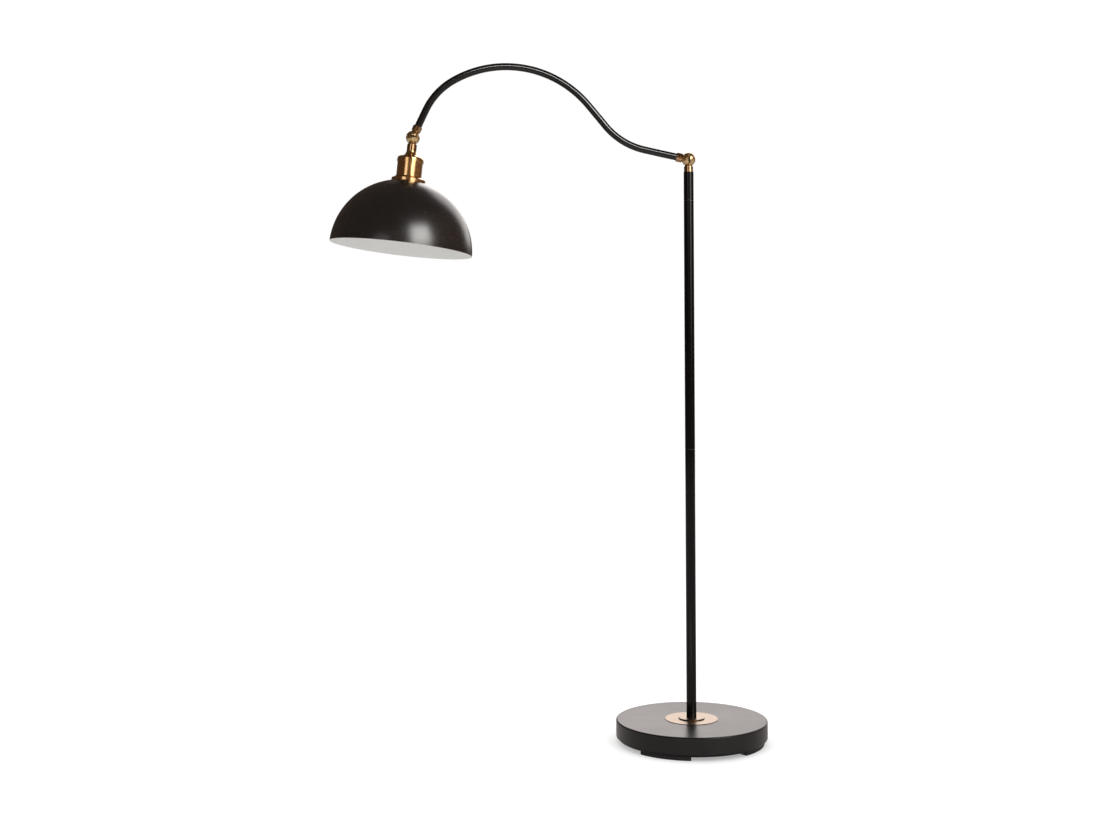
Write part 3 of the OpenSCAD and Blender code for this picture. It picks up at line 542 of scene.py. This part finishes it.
def rubber_pads(material):
    """Four moulded rubber arcs with rounded edges and two grooves in the tread."""
    inner, outer, high = 0.128, 0.153, 0.008
    corner, groove, deep = 0.0015, 0.0030, 0.0012
    half_turn, first, count = math.radians(21.5), math.radians(61), 4
    middle, half = (inner + outer) / 2, (outer - inner) / 2
    profile = [(-half, high), (-half, corner)]
    profile += [(-half + corner * (1 - math.cos(t)), corner * (1 - math.sin(t)))
                for t in (0.4, 0.8, 1.2, math.pi / 2)]
    for g in (-half / 3, half / 3):
        profile += [(g - groove / 2, 0), (g - groove / 3, deep),
                    (g + groove / 3, deep), (g + groove / 2, 0)]
    profile += [(-x, z) for x, z in profile[5:1:-1]]
    profile += [(half, corner), (half, high)]
    end = corner / middle
    angles = [(-half_turn + end * (1 - math.cos(t)), corner * (1 - math.sin(t)))
              for t in (0.0, 0.4, 0.8, 1.2, math.pi / 2)]
    steps = 24
    inside = [(-half_turn + end + (2 * half_turn - 2 * end) * i / steps, 0.0) for i in range(1, steps)]
    angles = angles + inside + [(-a, inset) for a, inset in reversed(angles)]
    verts, faces = [], []
    n = len(profile)
    for c in range(count):
        base = len(verts)
        for a, inset in angles:
            turn = first + 2 * math.pi * c / count + a
            for x, z in profile:
                r = middle + x * (1 - inset / half)
                up = high - (high - z) * (1 - inset / high)
                verts.append((r * math.cos(turn), r * math.sin(turn), up))
        for i in range(len(angles) - 1):
            for j in range(n):
                k = (j + 1) % n
                here, there = base + i * n, base + (i + 1) * n
                faces.append((here + j, here + k, there + k, there + j))
        last = base + (len(angles) - 1) * n
        faces += [tuple(base + j for j in range(n)), tuple(last + j for j in reversed(range(n)))]
    pads = add_piece("rubber_pads", verts, faces, "stand", material, "foot_pads")
    pads.data.set_sharp_from_angle(angle=math.radians(35))


# ---------------------------------------------------------------- stage and light

# Soft lamps, which light but aren't mirrored: azimuth and elevation in degrees, then distance, width and
# height in metres, and radiance
LAMPS = {
    "key": (36, 28, 2.6, 1.0, 0.9, 3.0),
    "left": (-45, 20, 2.6, 0.8, 1.2, 1.4),
    "top": (150, 60, 2.6, 1.3, 1.3, 1.6),
}
# The lamp that the arm alone mirrors, as its long highlight, and what it is aimed at
STRIP, STRIP_AT = (18, 25, 2.6, 2.3, 0.45, 22.0), (-0.3, 0, 1.35)


def area(name, azimuth, elevation, distance, width, height, radiance, target=(-0.3, 0, 0.75),
         mirrored_in=None):
    """A soft lamp seen from the target at an azimuth right of the camera's side and an elevation.

    It lights everything and is mirrored nowhere, or one object alone mirrors it and it gives no other light.
    """
    az, el = math.radians(azimuth), math.radians(elevation)
    back = Vector((math.sin(az) * math.cos(el), -math.cos(az) * math.cos(el), math.sin(el)))
    data = bpy.data.lights.new(name, "AREA")
    data.shape = "RECTANGLE"
    data.size, data.size_y = width, height
    data.energy = radiance * math.pi * width * height
    lamp = bpy.data.objects.new(name, data)
    lamp.location = Vector(target) + back * distance
    lamp.rotation_mode = "QUATERNION"
    lamp.rotation_quaternion = (-back).to_track_quat("-Z", "Y")
    lamp.visible_camera = False
    lamp.visible_glossy = mirrored_in is not None
    if mirrored_in is not None:
        lamp.visible_diffuse = False
        only = bpy.data.collections.new(name + "_only")
        only.objects.link(mirrored_in)
        lamp.light_linking.receiver_collection = only
    bpy.context.scene.collection.objects.link(lamp)


# What glossy surfaces mirror: a dim warm room with soft boxes in it. For each box: the azimuth right of
# the camera's side, half its width and its soft edge, then the same for the elevation, all in degrees,
# and the radiance
DIM = (0.080, 0.056, 0.043)
BOXES = (
    (38, 12, 7, 20.5, 6.5, 13.5, (8.8, 8.7, 8.45)),
    (-25, 7, 8, 11.5, 1.5, 5, (2.0, 1.96, 1.88)),
    (85, 25, 15, 10, 25, 20, (0.13, 0.080, 0.055)),
    (0, 12, 12, 4, 6, 10, (0.10, 0.06, 0.04)),
    (149, 8, 8, 28, 16, 8, (1.90, 1.86, 1.82)),
    (173, 6, 8, 27, 12, 6, (3.10, 2.92, 2.87)),
)
# The even light that falls on the object from all sides
FILL = (0.92, 0.9154, 0.9062)
# What the camera sees behind the object; from 1 up it is white
BACKGROUND = (1.02, 1.02, 1.02)
# The glow that brings the lit floor up to white for the camera, and the floor's level where it is mirrored
FLOOR_GLOW = 0.36
FLOOR_MIRRORED = 0.55
FLOOR_TINT = (1, 0.93, 0.90, 1)
# Half the floor's width, and how far it lies below the rubber pads, in metres
FLOOR_HALF, FLOOR_DROP = 9, 0.0002
# A brighter spot of the mirrored floor, in front, for the arm's lower edge: its level, its middle and its
# inner and outer radius
POOL = (1.3, (-0.3, -1.14, 0), 0.25, 0.5)


def make_world():
    world = bpy.data.worlds.new("studio")
    bpy.context.scene.world = world
    world.cycles.sampling_method = "NONE"
    world.use_nodes = True
    world.node_tree.nodes.clear()
    n = Nodes(world.node_tree)
    split = n.node("ShaderNodeSeparateXYZ")
    n.link(n.node("ShaderNodeTexCoord").outputs["Generated"], split.inputs[0])
    x, y, z = split.outputs
    azimuth = n.math("DEGREES", n.math("ARCTAN2", x, n.math("MULTIPLY", y, -1.0)))
    elevation = n.math("DEGREES", n.math("ARCSINE", z))
    studio = DIM
    for az, half_w, soft_w, el, half_h, soft_h, radiance in BOXES:
        across = n.math("ABSOLUTE", n.math("WRAP", n.math("SUBTRACT", azimuth, az), 180.0, -180.0))
        along = n.math("ABSOLUTE", n.math("SUBTRACT", elevation, el))
        inside = n.math("MULTIPLY", n.remap(across, half_w, half_w + soft_w, 1.0, 0.0, True),
                        n.remap(along, half_h, half_h + soft_h, 1.0, 0.0, True))
        add = n.node("ShaderNodeMix", data_type="RGBA", blend_type="ADD", clamp_result=False)
        n.link(inside, add.inputs["Factor"])
        n.put(add.inputs[6], studio if isinstance(studio, bpy.types.NodeSocket) else (*studio, 1))
        n.put(add.inputs[7], (*radiance, 1))
        studio = add.outputs[2]
    path = n.seen()
    mirrored = n.math("MAXIMUM", path["Is Glossy Ray"], path["Is Transmission Ray"])
    colour = n.mix(mirrored, FILL, studio)
    colour = n.mix(path["Is Camera Ray"], colour, BACKGROUND)
    back = n.node("ShaderNodeBackground")
    n.link(colour, back.inputs["Color"])
    n.link(back.outputs[0], n.node("ShaderNodeOutputWorld").inputs[0])


def make_floor():
    """A pale floor that glows to white for the camera, keeps the lamp's shadow and is mirrored dimly."""
    mesh = bpy.data.meshes.new("floor")
    corners = [(x * FLOOR_HALF, y * FLOOR_HALF, 0) for x, y in ((-1, -1), (1, -1), (1, 1), (-1, 1))]
    mesh.from_pydata(corners, [], [(0, 1, 2, 3)])
    floor = bpy.data.objects.new("floor", mesh)
    floor.location.z = -FLOOR_DROP
    bpy.context.scene.collection.objects.link(floor)
    s = Shader("floor")
    s.finish((0.80, 0.80, 0.80), 0.9, None, Specular_IOR_Level=0.0)
    path = s.seen()
    glow = s.node("ShaderNodeEmission")
    s.put(glow.inputs["Strength"], s.math("MULTIPLY", path["Is Camera Ray"], FLOOR_GLOW))
    add = s.node("ShaderNodeAddShader")
    s.link(s.bsdf.outputs[0], add.inputs[0])
    s.link(glow.outputs[0], add.inputs[1])
    # Mirrored, the floor is dim with a brighter spot in front, which is painted and not lit
    level, middle, inner, outer = POOL
    away = s.vector("LENGTH", s.vector("MULTIPLY", s.vector("SUBTRACT", s.coords, middle), (0.5, 1, 0)))
    spot = s.remap(away, inner, outer, 1.0, 0.0, True)
    dim = s.node("ShaderNodeEmission")
    dim.inputs["Color"].default_value = FLOOR_TINT
    s.put(dim.inputs["Strength"], s.math("MULTIPLY_ADD", spot, level - FLOOR_MIRRORED, FLOOR_MIRRORED))
    choose = s.node("ShaderNodeMixShader")
    s.link(s.math("MAXIMUM", path["Is Glossy Ray"], path["Is Transmission Ray"]), choose.inputs[0])
    s.link(add.outputs[0], choose.inputs[1])
    s.link(dim.outputs[0], choose.inputs[2])
    s.link(choose.outputs[0], s.tree.nodes["Material Output"].inputs["Surface"])
    mesh.materials.append(s.mat)


make_camera()
make_world()
make_floor()
for name, values in LAMPS.items():
    area(name, *values)
area("strip", *STRIP, STRIP_AT, NODES["arm_tube"])

finishes = dress_nodes()
for node in NODES.values():
    smooth_normals(node)
threaded_shell(finishes["socket_brass"])
rubber_pads(finishes["rubber"])

scene = bpy.context.scene
scene.view_settings.view_transform = "Standard"
